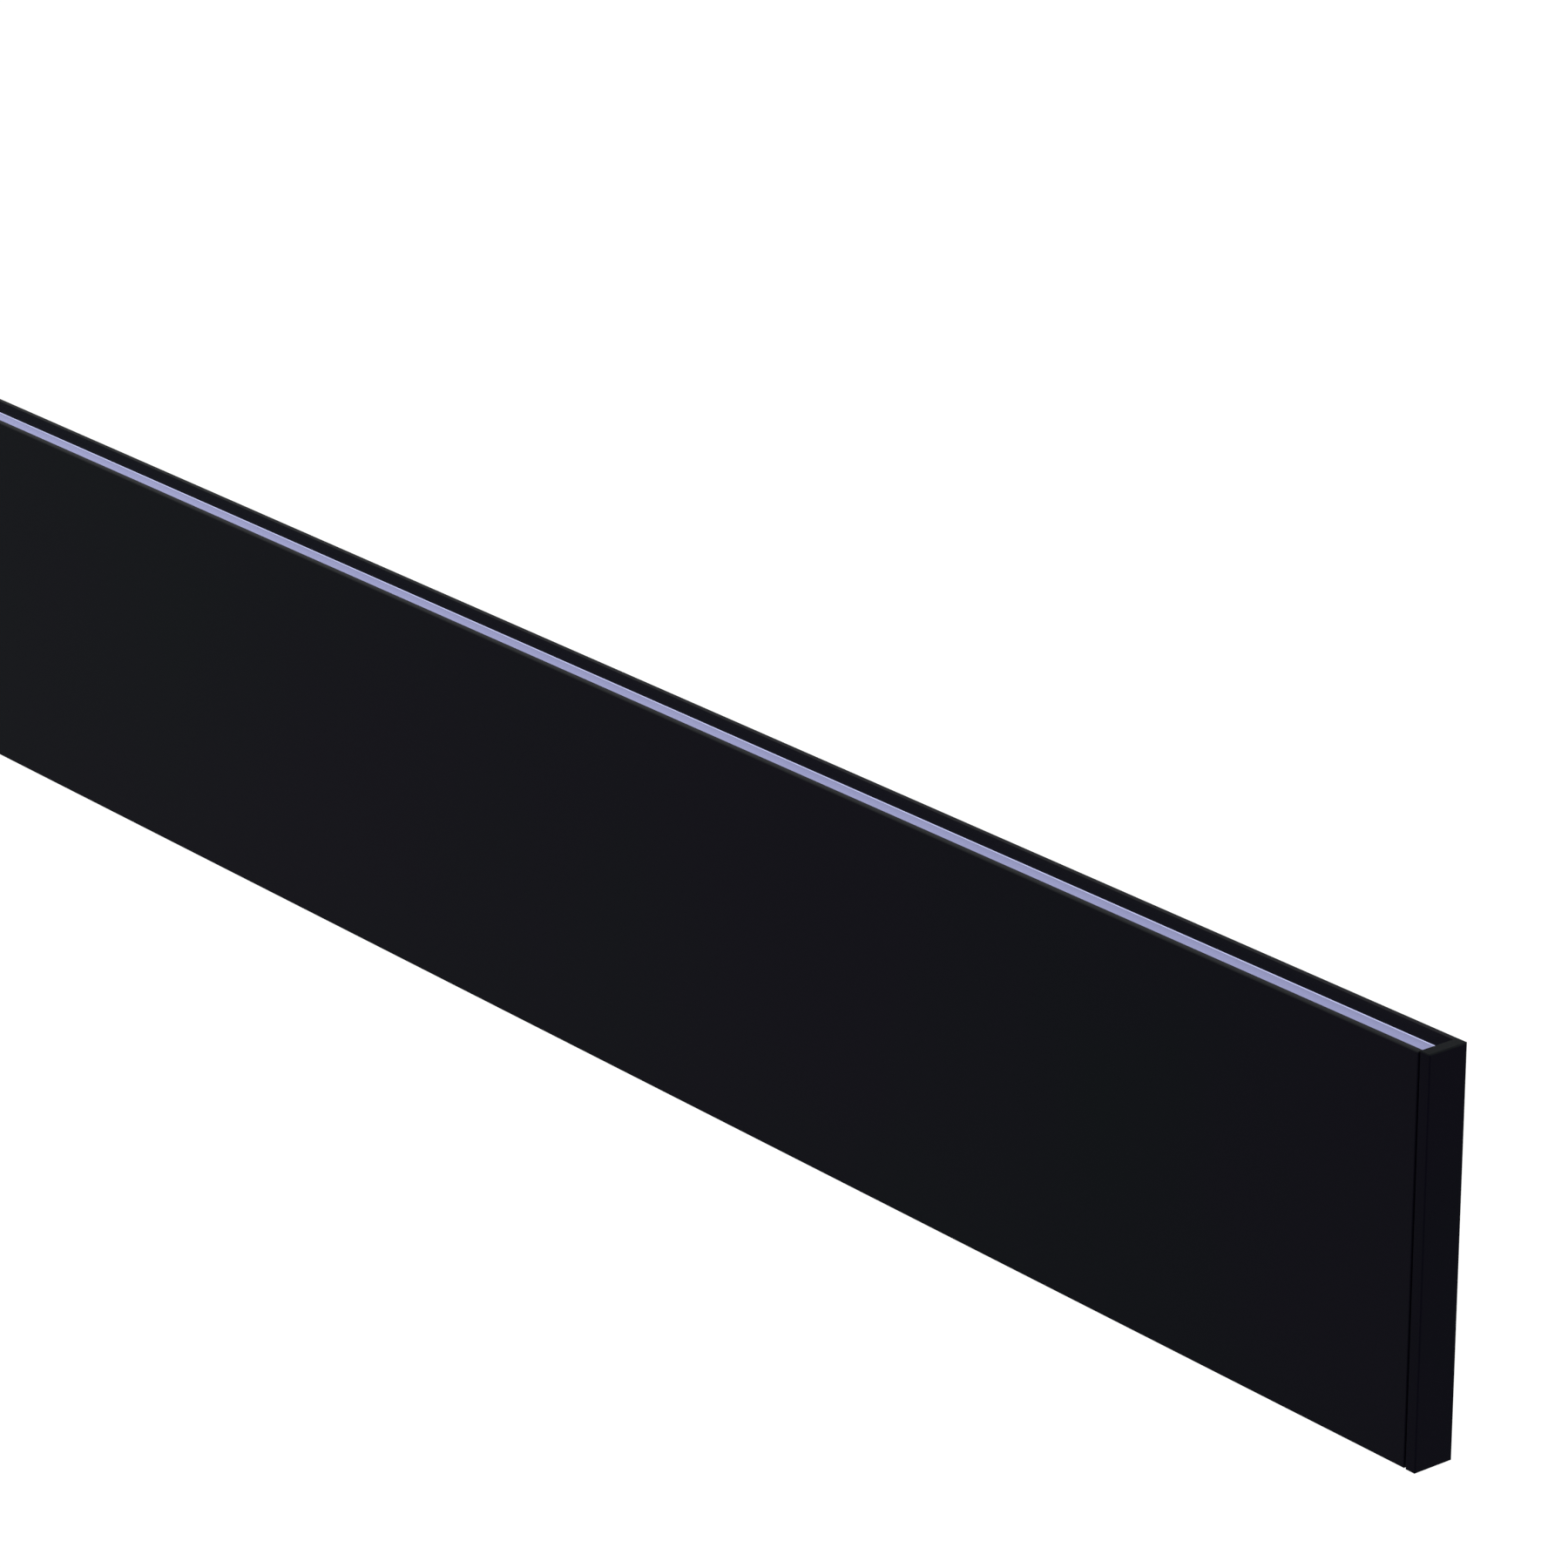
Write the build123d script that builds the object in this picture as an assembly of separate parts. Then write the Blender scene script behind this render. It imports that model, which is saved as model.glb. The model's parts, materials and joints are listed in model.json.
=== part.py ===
from build123d import *

import os
from math import radians, tan

# A slim up-and-down vanity light bar that hangs on a wall bracket.
#
# The origin is the centre of the bracket's wire hole, in the rear face that lies on the wall.  +X runs along the
# bar, to the right as seen from the room, +Y points into the wall and +Z points up.  All sizes are in millimetres.

# ---- the bar -------------------------------------------------------------------------------------
bar_length = 914.4  # 36 in
bar_height = 114.3  # 4.5 in
bar_depth = 12.7  # 0.5 in
skin = 1.6  # wall of the back channel and of the front cover
cap_thickness = 3.5
cap_edge_radius = 0.4
cover_end_gap = 0.7  # shadow gap between the front cover and each end cap
cover_drop = 0.5  # the cover's top edge sits this far below the caps
cover_edge_radius = 0.35
lip = 1.0  # front wall of each light trough
lip_clearance = 0.2  # between that wall and the front cover
shelf = 1.3  # floor of each light trough
trough_depth = 14.0  # rim of the bar to the top of the shelf
ledge = 1.0  # rib on the back wall under the diffuser
ledge_height = 1.4
catch = 0.8  # rib under each shelf that the cover's hooks snap behind
hook_sheet = 1.0
hook_clearance = 0.2

# ---- diffusers and light boards ------------------------------------------------------------------
lens_recess = 3.6  # rim of the bar to the diffuser's face
lens_thickness = 1.6
lens_leg = 0.8
lens_leg_drop = 3.2
lens_barb = 0.3
lens_side_clearance = 0.05
lens_end_clearance = 0.1
tape_thickness = 0.2
board_width = 8.0
board_thickness = 1.0
board_gap = 10.0  # between the two boards of one trough, where their connector sits
board_end_clearance = 1.7
chip_length, chip_width, chip_height = 3.5, 2.8, 0.8
chips_per_board = 36
connector_length, connector_width, connector_height = 7.0, 5.6, 3.4

# ---- the box behind the bar ----------------------------------------------------------------------
box_length = 200.0
box_height = 84.0
box_depth = 22.0  # wall to the back of the bar
box_sheet = 1.2
box_wall_gap = 1.0  # between the box's rear edges and the wall
box_corner_radius = 2.5
box_screw_x, box_screw_z = 85.0, 30.0
hanger_length = 160.0
hanger_flange = 11.6
hanger_rear = -2.4  # rear face of the hanger rail's hanging leg
hanger_rivet_x = (-70.0, 0.0, 70.0)
grommet_x, grommet_z = 66.0, 8.0
grommet_bore, grommet_neck, grommet_flange = 4.5, 6.0, 8.0  # radii
grommet_flange_thickness = 1.2
grommet_offset = 1.1  # the leads pass this far right of the grommet's centre, because they bend left beyond it
rivet_radius, rivet_head_radius, rivet_head_height = 1.6, 3.0, 0.9
rivet_tail_radius, rivet_tail_height = 2.4, 1.0

# ---- the wall bracket ----------------------------------------------------------------------------
bracket_length = 184.0
bracket_top, bracket_bottom = 26.0, -30.0
bracket_sheet = 1.5
wire_hole_radius = 17.0
box_slot_spacing = 88.9  # 3.5 in, the screw spacing of a 4 in junction box
slot_length, slot_radius = 12.0, 2.4
wall_hole_x, wall_hole_z, wall_hole_radius = 74.0, 18.0, 2.5
hook_x, hook_width = 60.0, 20.0
hook_reach = 5.5  # wall to the front of the hook
hook_height = 8.0  # of the upright that keeps the hanger rail in
hang_gap = 0.1  # between the hanger rail's leg and the hook it hangs on
ground_x, ground_z = 60.0, -20.0
ground_radius, ground_head, ground_head_height = 1.9, 3.8, 2.4
ground_washer, ground_washer_thickness = 4.8, 0.8
side_flange_reach = 12.0
side_flange_bottom, side_flange_top = -20.0, 10.0

# ---- lock screws ---------------------------------------------------------------------------------
lock_y, lock_z = -8.0, -5.0
lock_radius = 2.0
lock_head_radius, lock_head_length = 5.0, 5.0
lock_head_gap = 1.0  # between the knurled head and the side of the box
lock_washer_radius, lock_washer_thickness = 4.2, 0.8
lock_tip_gap = 0.1
lock_nut_radius, lock_nut_length = 3.6, 3.0
knurl_count, knurl_depth = 24, 0.35
running_gap = 0.05  # radial clearance of a screw in its hole

# ---- other screws --------------------------------------------------------------------------------
cap_screw_radius, cap_screw_head, cap_screw_length = 1.5, 2.75, 7.5
cap_screw_z = 20.0
cap_lug_length, cap_lug_depth, cap_lug_height = 14.0, 7.0, 60.0
box_screw_radius, box_screw_head, box_screw_head_height, box_screw_length = 1.75, 3.4, 2.2, 6.0
small_screw_radius, small_screw_head, small_screw_head_height = 1.4, 2.6, 1.8

# ---- driver and wiring ---------------------------------------------------------------------------
driver_left, driver_right = -70.0, 44.0
driver_bottom, driver_top = -38.0, -6.0
driver_depth = 16.0
driver_wall = 1.5
driver_ear = 8.0
driver_ear_thickness = 2.0
driver_post, driver_post_height = 2.0, 2.0  # the posts that the circuit board stands on
driver_board_thickness = 1.6
driver_screw_z = -22.0
terminal_left, terminal_pitch, terminal_poles = -66.0, 10.0, 3
terminal_bottom, terminal_top, terminal_depth = 6.0, 20.0, 11.0
terminal_well, terminal_well_depth = 2.6, 3.0
terminal_screw_radius, terminal_screw_length = 1.9, 2.2
terminal_wire_hole = 1.6
earth_x, earth_z = -20.0, 14.0
earth_eye_outer, earth_eye_inner, earth_eye_thickness = 3.2, 1.5, 0.8
earth_barrel_radius, earth_barrel_length = 1.5, 3.5
lead_radius = 0.8
mains_radius = 0.9
pair_offset = 1.1  # half the spacing of the four low-voltage leads
low_volt_y, low_volt_z = -13.0, -14.0
mains_out = [(-12.0, -16.0), (-12.0, -10.0)]  # (y, z) where the mains leads leave the driver

# ---- places worked out from the sizes above ------------------------------------------------------
half_length = bar_length / 2
half_height = bar_height / 2
bar_back = -box_depth
bar_front = bar_back - bar_depth
channel_end = half_length - cap_thickness
wall_inner = bar_back - skin  # room-side face of the channel's back wall
cover_inner = bar_front + skin
lip_front = cover_inner + lip_clearance
lip_inner = lip_front + lip
shelf_top = half_height - trough_depth
shelf_under = shelf_top - shelf
lens_face = half_height - lens_recess
lens_under = lens_face - lens_thickness
catch_front = lip_front + 0.4
box_front_inner = bar_back + box_sheet  # wall-side face of the box's front sheet
box_rear = -box_wall_gap
box_side_inner = box_length / 2 - box_sheet
box_top_inner = box_height / 2 - box_sheet
hanger_rivet_y = hanger_rear - hanger_flange / 2
driver_rear = box_front_inner + driver_depth
driver_board_y = box_front_inner + driver_wall + driver_post_height
tape_top = shelf_top + tape_thickness
board_top = tape_top + board_thickness
board_near = board_gap / 2
board_far = channel_end - board_end_clearance
board_back = wall_inner - 0.15
connector_y = wall_inner - 3.5
terminal_right = terminal_left + terminal_pitch * terminal_poles
terminal_rear = box_front_inner + terminal_depth
terminal_middle = (terminal_bottom + terminal_top) / 2
terminal_wire_y = box_front_inner + 5.0
pole_x = [terminal_left + terminal_pitch * (i + 0.5) for i in range(terminal_poles)]
earth_barrel_start = earth_z - 4.5
earth_barrel_end = earth_barrel_start - earth_barrel_length
cap_screw_x = channel_end - cap_lug_length / 2
cap_screw_places = [(x, z) for x in (-cap_screw_x, cap_screw_x) for z in (-cap_screw_z, cap_screw_z)]
box_screw_places = [(x, z) for x in (-box_screw_x, box_screw_x) for z in (-box_screw_z, box_screw_z)]
driver_screw_x = (driver_left - driver_ear / 2, driver_right + driver_ear / 2)


def block(x, y, z):
    """A box between the two limits given along each axis, in either order."""
    sizes = [abs(b - a) for a, b in (x, y, z)]
    centre = [(a + b) / 2 for a, b in (x, y, z)]
    return Pos(*centre) * Box(*sizes)


def rod(start, direction, radius, length):
    """A round bar from start, along direction."""
    place = Plane(origin=start, z_dir=direction)
    return place * Cylinder(radius, length, align=(Align.CENTER, Align.CENTER, Align.MIN))


def profile_along_x(points, x0, x1):
    """Extrudes an outline of (y, z) points from x0 to x1."""
    face = Plane.YZ.offset(x0) * make_face(Polyline(*points, close=True))
    return extrude(face, amount=x1 - x0)


def both_sides(make):
    """The same shape at the top and at the bottom of the bar."""
    shape = make()
    return shape + mirror(shape, about=Plane.XY)


def save(name, *solids):
    """Writes one node: a single solid, or several separate ones."""
    shape = solids[0] if len(solids) == 1 else Compound(children=list(solids))
    export_step(shape, f"parts/{name}.step")


# ---- fasteners -----------------------------------------------------------------------------------
def cross_recess(seat, direction, size, depth):
    """The cross cut that a screwdriver turns, sunk from seat along direction."""
    place = Plane(origin=seat, z_dir=direction)
    down = (Align.CENTER, Align.CENTER, Align.MIN)
    return place * Box(size, size / 4, depth, align=down) + place * Box(size / 4, size, depth, align=down)


def pan_screw(seat, direction, radius, length, head_radius, head_height):
    """A domed screw whose head stands on seat and whose shank runs along direction."""
    into = Vector(*direction)
    top = Vector(*seat) - into * head_height
    head = rod(top, into, head_radius, head_height)
    rim = head.edges().filter_by(GeomType.CIRCLE).sort_by(lambda e: (e.center() - top).length)[0]
    head = fillet(rim, head_height * 0.6)
    screw = head + rod(seat, into, radius, length)
    return screw - cross_recess(top, into, head_radius, head_height * 0.6)


def flat_screw(seat, direction, radius, length, head_radius):
    """A countersunk screw whose flat head is level with seat."""
    into = Vector(*direction)
    cone_height = head_radius - radius
    cone = Plane(origin=seat, z_dir=into) * Cone(
        head_radius, radius, cone_height, align=(Align.CENTER, Align.CENTER, Align.MIN)
    )
    screw = cone + rod(seat, into, radius, length)
    return screw - cross_recess(seat, into, head_radius, cone_height * 0.7)


# ---- the bar -------------------------------------------------------------------------------------
def trough():
    """Shelf, front lip, lens ledge and cover catch of the upper light trough."""
    run = (-channel_end, channel_end)
    floor = block(run, (wall_inner, lip_front), (shelf_under, shelf_top))
    front = block(run, (lip_inner, lip_front), (shelf_under, lens_under))
    rest = block(run, (wall_inner, wall_inner - ledge), (lens_under - ledge_height, lens_under))
    rib = block(run, (catch_front, catch_front + catch), (shelf_under, shelf_under - catch))
    # The leads rise to the connector between the two boards through this slot.
    slot = block((-3, 3), (wall_inner - 1, wall_inner - 6), (shelf_under - 1, shelf_top + 1))
    return floor + front + rest + rib - slot


def back_channel():
    """The extrusion that carries everything in the bar."""
    shape = block((-channel_end, channel_end), (bar_back, wall_inner), (-half_height, half_height))
    shape += both_sides(trough)
    for x, z in cap_screw_places:
        shape -= flat_screw_hole(x, z)
    for x, z in box_screw_places:
        shape -= rod((x, bar_back + 1, z), (0, -1, 0), box_screw_radius + running_gap, skin + 2)
    return shape - rod((grommet_x, bar_back + 1, grommet_z), (0, -1, 0), grommet_neck, skin + 2)


def flat_screw_hole(x, z):
    """Countersink and clearance hole for one end cap screw."""
    head = cap_screw_head + running_gap
    sink = Plane(origin=(x, bar_back, z), z_dir=(0, -1, 0)) * Cone(
        head, cap_screw_radius + running_gap, cap_screw_head - cap_screw_radius,
        align=(Align.CENTER, Align.CENTER, Align.MIN),
    )
    return sink + rod((x, bar_back, z), (0, -1, 0), cap_screw_radius + running_gap, skin + 1)


def cover_hook():
    """The upper hook on the inside of the cover: an arm with a barb behind the shelf's catch."""
    run = (-channel_end + cover_end_gap, channel_end - cover_end_gap)
    barb_front = catch_front + catch + hook_clearance
    arm_top = shelf_under - catch - hook_clearance
    arm = block(run, (cover_inner, barb_front + hook_sheet), (arm_top - hook_sheet, arm_top))
    barb = block(run, (barb_front, barb_front + hook_sheet), (arm_top, shelf_under - hook_clearance))
    return arm + barb


def front_cover():
    """The flat face of the bar, which snaps onto the back channel."""
    run = (-channel_end + cover_end_gap, channel_end - cover_end_gap)
    plate = block(run, (bar_front, cover_inner), (-half_height, half_height - cover_drop))
    face = plate.faces().sort_by(Axis.Y)[0]
    plate = fillet(face.edges(), cover_edge_radius)
    return plate + both_sides(cover_hook)


def end_cap(side):
    """The plate that closes one end (side is +1 or -1), with the lug that its two screws hold."""
    outer, inner = side * half_length, side * channel_end
    plate = block((inner, outer), (bar_front, bar_back), (-half_height, half_height))
    face = plate.faces().sort_by(Axis.X)[-1 if side > 0 else 0]
    plate = fillet(face.edges(), cap_edge_radius)
    lug = block(
        (inner, inner - side * cap_lug_length),
        (wall_inner, wall_inner - cap_lug_depth),
        (-cap_lug_height / 2, cap_lug_height / 2),
    )
    shape = plate + lug
    for z in (-cap_screw_z, cap_screw_z):
        shape -= rod((side * cap_screw_x, wall_inner, z), (0, -1, 0), cap_screw_radius + running_gap,
                     cap_screw_length)
    return shape


def diffuser():
    """The upper opal strip: a flat face with two legs that snap into the trough."""
    back = wall_inner - lens_side_clearance
    front = lip_front
    rear_leg = wall_inner - ledge - lens_side_clearance
    front_leg = lip_inner + lens_side_clearance
    foot = lens_under - lens_leg_drop
    barb_top = lens_under - ledge_height - lens_side_clearance
    outline = [
        (front, lens_face), (back, lens_face), (back, lens_under), (rear_leg, lens_under),
        (rear_leg, barb_top), (rear_leg + lens_barb, barb_top), (rear_leg - lens_leg / 2, foot),
        (rear_leg - lens_leg, foot), (rear_leg - lens_leg, lens_under),
        (front_leg + lens_leg, lens_under), (front_leg + lens_leg, foot), (front_leg + lens_leg / 2, foot),
        (front_leg, foot + lens_leg), (front_leg, lens_under), (front, lens_under),
    ]
    reach = channel_end - lens_end_clearance
    return profile_along_x(outline, -reach, reach)


def light_boards():
    """The two upper circuit boards, one on each side of the connector."""
    width = (board_back, board_back - board_width)
    return [block((s * board_near, s * board_far), width, (tape_top, board_top)) for s in (-1, 1)]


def board_tape():
    """Thermal tape under the upper boards."""
    width = (board_back - 0.3, board_back - board_width + 0.3)
    return [block((s * board_near, s * board_far), width, (shelf_top, tape_top)) for s in (-1, 1)]


def light_chips():
    """The upper row of light-emitting chips, evenly spaced along both boards."""
    pitch = (board_far - board_near) / chips_per_board
    middle = board_back - board_width / 2
    chips = []
    for s in (-1, 1):
        for i in range(chips_per_board):
            x = s * (board_near + pitch * (i + 0.5))
            chips.append(block((x - chip_length / 2, x + chip_length / 2),
                               (middle - chip_width / 2, middle + chip_width / 2),
                               (board_top, board_top + chip_height)))
    return chips


def board_connector():
    """The socket that joins the leads to the two upper boards."""
    return block((-connector_length / 2, connector_length / 2),
                 (connector_y - connector_width / 2, connector_y + connector_width / 2),
                 (shelf_top, shelf_top + connector_height))


# ---- box, hanger rail and grommet ----------------------------------------------------------------
def back_box():
    """The folded sheet box that holds the driver and hangs on the bracket."""
    half_x, half_z = box_length / 2, box_height / 2
    outer = block((-half_x, half_x), (bar_back, box_rear), (-half_z, half_z))
    outer = fillet(outer.edges().filter_by(Axis.Y), box_corner_radius)
    inner = block((-box_side_inner, box_side_inner), (box_front_inner, 5), (-box_top_inner, box_top_inner))
    inner = fillet(inner.edges().filter_by(Axis.Y), box_corner_radius - box_sheet)
    shape = outer - inner
    for x, z in box_screw_places:
        shape -= rod((x, bar_back, z), (0, 1, 0), box_screw_radius + running_gap, box_sheet + 1)
    for x, z in [(x, driver_screw_z) for x in driver_screw_x] + [(earth_x, earth_z)]:
        shape -= rod((x, bar_back, z), (0, 1, 0), small_screw_radius + running_gap, box_sheet + 1)
    for x in hanger_rivet_x:
        shape -= rod((x, hanger_rivet_y, box_top_inner - 1), (0, 0, 1), rivet_radius, box_sheet + 2)
    shape -= rod((grommet_x, bar_back, grommet_z), (0, 1, 0), grommet_neck, box_sheet + 1)
    return shape - rod((-half_x - 1, lock_y, lock_z), (1, 0, 0), lock_radius + running_gap, box_length + 2)


def hanger_rail():
    """The angle riveted under the box's top, whose leg drops behind the bracket's hooks."""
    run = (-hanger_length / 2, hanger_length / 2)
    flange = block(run, (hanger_rear - hanger_flange, hanger_rear), (box_top_inner - box_sheet, box_top_inner))
    leg = block(run, (hanger_rear - box_sheet, hanger_rear), (bracket_top + hang_gap, box_top_inner))
    shape = flange + leg
    for x in hanger_rivet_x:
        shape -= rod((x, hanger_rivet_y, box_top_inner - 5), (0, 0, 1), rivet_radius, 10)
    return shape


def hanger_rivet(x):
    """One domed rivet through the box's top and the hanger rail."""
    up = (0, 0, 1)
    under = box_top_inner - box_sheet
    head = rod((x, hanger_rivet_y, box_height / 2), up, rivet_head_radius, rivet_head_height)
    head = fillet(head.edges().filter_by(GeomType.CIRCLE).sort_by(Axis.Z)[-1], rivet_head_height * 0.7)
    shank = rod((x, hanger_rivet_y, under), up, rivet_radius, 2 * box_sheet)
    tail = rod((x, hanger_rivet_y, under - rivet_tail_height), up, rivet_tail_radius, rivet_tail_height)
    return head + shank + tail


def wire_grommet():
    """The rubber ring that lines the hole from the box into the bar."""
    start = wall_inner - grommet_flange_thickness
    end = box_front_inner + grommet_flange_thickness
    y_out = (0, 1, 0)
    shape = rod((grommet_x, start, grommet_z), y_out, grommet_neck, end - start)
    shape += rod((grommet_x, start, grommet_z), y_out, grommet_flange, grommet_flange_thickness)
    shape += rod((grommet_x, box_front_inner, grommet_z), y_out, grommet_flange, grommet_flange_thickness)
    return shape - rod((grommet_x, start - 1, grommet_z), y_out, grommet_bore, end - start + 2)


# ---- wall bracket and lock screws ----------------------------------------------------------------
def wall_bracket():
    """The folded plate that is screwed to the wall or to a junction box."""
    half_x = bracket_length / 2
    shape = block((-half_x, half_x), (-bracket_sheet, 0), (bracket_bottom, bracket_top))
    for side in (-1, 1):
        hook = (side * hook_x - hook_width / 2, side * hook_x + hook_width / 2)
        arm = block(hook, (-hook_reach, 0), (bracket_top - bracket_sheet, bracket_top))
        upright = block(hook, (-hook_reach, -hook_reach + bracket_sheet),
                        (bracket_top - bracket_sheet, bracket_top + hook_height))
        corners = upright.edges().filter_by(Axis.Y).sort_by(Axis.Z)[-2:]
        flange = block((side * half_x, side * (half_x - bracket_sheet)), (-side_flange_reach, 0),
                       (side_flange_bottom, side_flange_top))
        rounded = fillet(flange.edges().filter_by(Axis.X).sort_by(Axis.Y)[:2], 3)
        shape += arm + chamfer(corners, 2) + rounded
        slot = SlotOverall(slot_length, 2 * slot_radius)
        place = Plane(origin=(side * box_slot_spacing / 2, 1, 0), x_dir=(1, 0, 0), z_dir=(0, -1, 0))
        shape -= extrude(place * slot, amount=bracket_sheet + 2)
        for z in (-wall_hole_z, wall_hole_z):
            shape -= rod((side * wall_hole_x, 1, z), (0, -1, 0), wall_hole_radius, bracket_sheet + 2)
    shape -= rod((0, 1, 0), (0, -1, 0), wire_hole_radius, bracket_sheet + 2)
    return shape - rod((ground_x, 1, ground_z), (0, -1, 0), ground_radius + running_gap, bracket_sheet + 2)


def ground_screw():
    """The green washer-head screw on the bracket that takes the house earth wire."""
    seat = (ground_x, -bracket_sheet, ground_z)
    washer = rod(seat, (0, -1, 0), ground_washer, ground_washer_thickness)
    on_washer = Plane(origin=(ground_x, -bracket_sheet - ground_washer_thickness, ground_z), z_dir=(0, -1, 0))
    head = extrude(on_washer * RegularPolygon(ground_head, 6), amount=ground_head_height)
    shank = rod(seat, (0, 1, 0), ground_radius, bracket_sheet)
    return washer + head + shank


def lock_screw(side):
    """A knurled thumb screw through one end of the box, tight against the bracket's side flange."""
    out = (side, 0, 0)
    tip = bracket_length / 2 + lock_tip_gap
    head_start = box_length / 2 + lock_head_gap
    shank = rod((side * tip, lock_y, lock_z), out, lock_radius, head_start - tip)
    head = rod((side * head_start, lock_y, lock_z), out, lock_head_radius, lock_head_length)
    outer_rim = head.edges().filter_by(GeomType.CIRCLE).sort_by(Axis.X)[-1 if side > 0 else 0]
    head = chamfer(outer_rim, 0.6)
    groove = rod((side * (head_start + 0.8), lock_y, lock_z), out, knurl_depth, lock_head_length)
    for i in range(knurl_count):
        place = Rot(360 * i / knurl_count, 0, 0) * Pos(0, 0, lock_head_radius)
        head -= Pos(0, lock_y, lock_z) * place * Pos(0, -lock_y, -lock_z) * groove
    return head + shank


def lock_washer(side):
    """The washer held captive under one lock screw's head."""
    start = (side * (box_length / 2 + (lock_head_gap - lock_washer_thickness) / 2), lock_y, lock_z)
    out = (side, 0, 0)
    ring = rod(start, out, lock_washer_radius, lock_washer_thickness)
    return ring - rod(start, out, lock_radius + running_gap, lock_washer_thickness)


def lock_nut(side):
    """The clinch nut inside the box that the lock screw turns in."""
    start = (side * (box_side_inner - lock_nut_length), lock_y, lock_z)
    out = (side, 0, 0)
    body = rod(start, out, lock_nut_radius, lock_nut_length)
    return body - rod(start, out, lock_radius + running_gap, lock_nut_length)


# ---- driver --------------------------------------------------------------------------------------
def driver_shell():
    """The driver's moulded case, open at the rear, with a screw ear at each end."""
    rear = driver_rear - driver_wall
    shape = block((driver_left, driver_right), (box_front_inner, rear), (driver_bottom, driver_top))
    shape = fillet(shape.edges().filter_by(Axis.Y), 1.2)
    shape -= block((driver_left + driver_wall, driver_right - driver_wall),
                   (box_front_inner + driver_wall, rear + 1),
                   (driver_bottom + driver_wall, driver_top - driver_wall))
    for x in (driver_left + 6, driver_right - 6):
        for z in (driver_bottom + 5, driver_top - 5):
            shape += rod((x, box_front_inner + driver_wall, z), (0, 1, 0), driver_post, driver_post_height)
    for x, inside in zip(driver_screw_x, (driver_left, driver_right)):
        ear = block((inside, 2 * x - inside), (box_front_inner, box_front_inner + driver_ear_thickness),
                    (driver_screw_z - 5, driver_screw_z + 5))
        hole = rod((x, box_front_inner, driver_screw_z), (0, 1, 0), small_screw_radius + running_gap, 5)
        shape += ear - hole
    return shape


def driver_lid():
    """The lid on the driver's rear face."""
    lid = block((driver_left, driver_right), (driver_rear - driver_wall, driver_rear),
                (driver_bottom, driver_top))
    return fillet(lid.edges().filter_by(Axis.Y), 1.2)


def driver_board():
    """The driver's circuit board."""
    margin = driver_wall + 0.5
    return block((driver_left + margin, driver_right - margin),
                 (driver_board_y, driver_board_y + driver_board_thickness),
                 (driver_bottom + margin, driver_top - margin))


def driver_components():
    """Choke, transformer core, two reservoir capacitors and the switching transistor."""
    seat = driver_board_y + driver_board_thickness
    low = driver_bottom + 4
    choke = block((-60, -48), (seat, seat + 8), (low, low + 14))
    core = block((-10, 8), (seat, seat + 8.5), (low + 4, low + 20))
    transistor = block((14, 24), (seat, seat + 4), (low, low + 9))
    cans = [rod((x, seat, low + 12), (0, 1, 0), 4, 8.5) for x in (-38, -26)]
    output_can = rod((32, seat, low + 14), (0, 1, 0), 4, 8.5)
    return [choke, core, transistor, *cans, output_can]


def small_screws():
    """The two screws that hold the driver in the box."""
    seat = box_front_inner + driver_ear_thickness
    length = driver_ear_thickness + box_sheet - 0.1
    return [pan_screw((x, seat, driver_screw_z), (0, -1, 0), small_screw_radius, length, small_screw_head,
                      small_screw_head_height) for x in driver_screw_x]


# ---- terminal block and wiring -------------------------------------------------------------------

def terminal_block():
    """The three-pole block where the house wires meet the driver's."""
    shape = block((terminal_left, terminal_right), (box_front_inner, terminal_rear),
                  (terminal_bottom, terminal_top))
    for x in pole_x:
        shape -= rod((x, terminal_rear - terminal_well_depth, terminal_middle), (0, 1, 0), terminal_well, 4)
        shape -= rod((x, terminal_wire_y, terminal_top - 4), (0, 0, 1), terminal_wire_hole, 5)
    for x in pole_x[:-1]:
        groove = x + terminal_pitch / 2
        shape -= block((groove - 0.5, groove + 0.5), (terminal_rear - 4, terminal_rear + 1), (0, 30))
    return shape


def terminal_screws():
    """One slotted clamp screw in each pole."""
    seat = terminal_rear - terminal_well_depth
    screws = []
    for x in pole_x:
        body = rod((x, seat, terminal_middle), (0, 1, 0), terminal_screw_radius, terminal_screw_length)
        slot = block((x - 3, x + 3), (seat + 1.4, seat + 3), (terminal_middle - 0.35, terminal_middle + 0.35))
        screws.append(body - slot)
    return screws


def earth_eye():
    """The ring terminal under the earth screw, with its crimp barrel."""
    seat = (earth_x, box_front_inner, earth_z)
    ring = rod(seat, (0, 1, 0), earth_eye_outer, earth_eye_thickness)
    neck = block((earth_x - 1.2, earth_x + 1.2), (box_front_inner, box_front_inner + earth_eye_thickness),
                 (earth_barrel_start, earth_z))
    barrel_start = (earth_x, box_front_inner + earth_barrel_radius, earth_barrel_start)
    barrel = rod(barrel_start, (0, 0, -1), earth_barrel_radius, earth_barrel_length)
    return ring + neck + barrel - rod(seat, (0, 1, 0), earth_eye_inner, 2)


def earth_screw():
    """The screw that clamps the ring terminal to the box."""
    seat = (earth_x, box_front_inner + earth_eye_thickness, earth_z)
    return pan_screw(seat, (0, -1, 0), small_screw_radius, earth_eye_thickness + box_sheet - 0.1,
                     small_screw_head, small_screw_head_height)


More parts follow.
